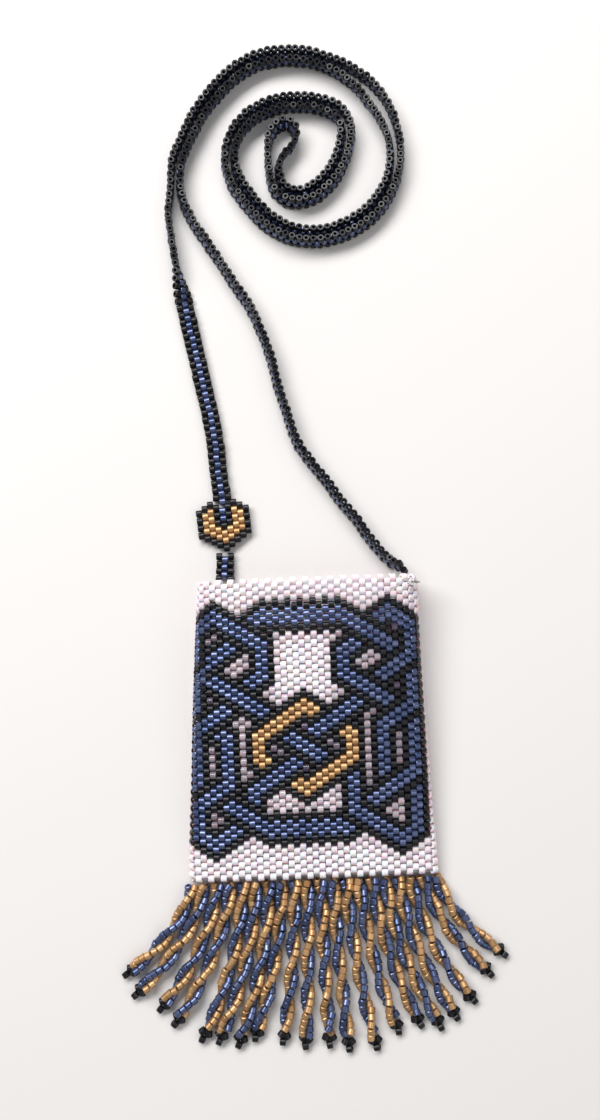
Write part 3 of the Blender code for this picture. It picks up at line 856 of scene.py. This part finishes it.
class BEADWORK_OT_string_fringe(bpy.types.Operator):
    """String the fringe: two twisted strings of beads in each leg, and three black beads at its tip"""

    bl_idname = "beadwork.string_fringe"
    bl_label = "String Fringe"
    bl_options = {"REGISTER", "UNDO"}

    def execute(self, context):
        sizes = context.scene.beadwork
        glass = materials_for(sizes)
        shape = bead_shape(PLAIN_SIDES, *FRINGE_BEAD, sizes.hole_width, FRINGE_BEVEL)
        colours = [glass["gold"], glass["blue"], glass["black"]]
        up = np.array((0.0, 0.0, 1.0))
        slope = 2 * math.pi * STRING_SPREAD / LEG_TWIST
        step = STRING_PITCH / math.hypot(1, slope)
        for index in range(LEGS):
            curve = leg_curve(index, sizes)
            long = float(measured(curve)[-1])
            beads = Beads(seed=100 + index)
            stop = long - TIP_LENGTH
            for slot, half_turn in ((0, 0.0), (1, math.pi)):
                places = np.arange(LEG_START + STRING_LAG * step * slot, stop, step)
                middles, ahead = at_distance(curve, places)
                side = np.stack([-ahead[:, 1], ahead[:, 0], np.zeros(len(ahead))], axis=1)
                turn = half_turn + index * math.pi / 2 + 2 * math.pi * places / LEG_TWIST
                out = side * np.cos(turn)[:, None] + up * np.sin(turn)[:, None]
                round_it = up * np.cos(turn)[:, None] - side * np.sin(turn)[:, None]
                beads.add(middles + out * STRING_SPREAD, bases(ahead + round_it * slope, out), slot)
            end, ahead = at_distance(curve, np.array([stop]))
            side = np.array((-ahead[0, 1], ahead[0, 0], 0.0))
            for sideways, past, height in TIP_BEADS:
                place = end[0] + side * sideways * MM + ahead[0] * past * MM
                place[2] = height * MM
                lie = ahead[0] + side * sideways if sideways else side
                beads.add(place, bases(lie[None], up[None]), 2)
            name = f"fringe_leg_{index + 1:02d}"
            item = beads.build(f"{name}_beads", shape, colours, STRUNG)
            stand_for(item, "fringe_beads", name)
        return {"FINISHED"}


class BEADWORK_OT_set_stage(bpy.types.Operator):
    """Lay the pale floor, hang the lamps and place the camera"""

    bl_idname = "beadwork.set_stage"
    bl_label = "Set Stage"
    bl_options = {"REGISTER", "UNDO"}

    def execute(self, context):
        scene = context.scene
        material, _, shader = new_material("matt_paper")
        shader.inputs["Base Color"].default_value = (*scene.beadwork.floor, 1)
        shader.inputs["Roughness"].default_value = 0.9
        mesh = bpy.data.meshes.new("floor")
        corners = [(x * FLOOR_HALF, y * FLOOR_HALF, 0) for x, y in ((-1, -1), (1, -1), (1, 1), (-1, 1))]
        mesh.from_pydata(corners, [], [(0, 1, 2, 3)])
        mesh.materials.append(material)
        floor = bpy.data.objects.new("floor", mesh)
        scene.collection.objects.link(floor)
        for name, place, short_side, long_side, power in LAMPS:
            data = bpy.data.lights.new(name, "AREA")
            data.shape = "RECTANGLE"
            data.size = long_side
            data.size_y = short_side
            data.energy = power
            lamp = bpy.data.objects.new(name, data)
            lamp.location = place
            lamp.rotation_euler = (-Vector(place)).to_track_quat("-Z", "Y").to_euler()
            scene.collection.objects.link(lamp)
        world = bpy.data.worlds.new("soft_sky")
        world.use_nodes = True
        background = world.node_tree.nodes["Background"]
        background.inputs["Color"].default_value = (1, 1, 1, 1)
        background.inputs["Strength"].default_value = SKY_STRENGTH
        scene.world = world
        scene.view_settings.view_transform = "Standard"
        data = bpy.data.cameras.new("camera")
        data.lens = LENS
        data.clip_start = NEAR_CLIP
        camera = bpy.data.objects.new("camera", data)
        ahead = Vector((0.0, math.sin(CAMERA_TILT), -math.cos(CAMERA_TILT)))
        right = Vector((1.0, 0.0, 0.0))
        above = right.cross(ahead)
        c, s = math.cos(CAMERA_ROLL), math.sin(CAMERA_ROLL)
        turned = Matrix((right * c + above * s, above * c - right * s, -ahead)).transposed()
        camera.matrix_world = Matrix.LocRotScale(CAMERA, turned, None)
        scene.collection.objects.link(camera)
        scene.camera = camera
        return {"FINISHED"}


class BEADWORK_PT_panel(bpy.types.Panel):
    """The beadwork's sizes, colours and steps"""

    bl_idname = "BEADWORK_PT_panel"
    bl_label = "Beaded Bag"
    bl_space_type = "VIEW_3D"
    bl_region_type = "UI"
    bl_category = "Beadwork"

    def draw(self, context):
        layout = self.layout
        sizes = context.scene.beadwork
        for name in BeadworkSettings.__annotations__:
            layout.prop(sizes, name)
        for step in STEPS:
            layout.operator(step.bl_idname)


STEPS = (
    BEADWORK_OT_weave_bag,
    BEADWORK_OT_weave_medallion,
    BEADWORK_OT_string_strap,
    BEADWORK_OT_tie_rim,
    BEADWORK_OT_string_fringe,
    BEADWORK_OT_set_stage,
)


def register():
    for kind in (BeadworkSettings, *STEPS, BEADWORK_PT_panel):
        bpy.utils.register_class(kind)
    bpy.types.Scene.beadwork = PointerProperty(type=BeadworkSettings)


def unregister():
    del bpy.types.Scene.beadwork
    for kind in (BEADWORK_PT_panel, *reversed(STEPS), BeadworkSettings):
        bpy.utils.unregister_class(kind)


def main():
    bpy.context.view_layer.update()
    register()
    bpy.ops.beadwork.weave_bag()
    bpy.ops.beadwork.weave_medallion()
    bpy.ops.beadwork.string_strap()
    bpy.ops.beadwork.tie_rim()
    bpy.ops.beadwork.string_fringe()
    bpy.ops.beadwork.set_stage()
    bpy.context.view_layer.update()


if __name__ == "__main__":
    main()
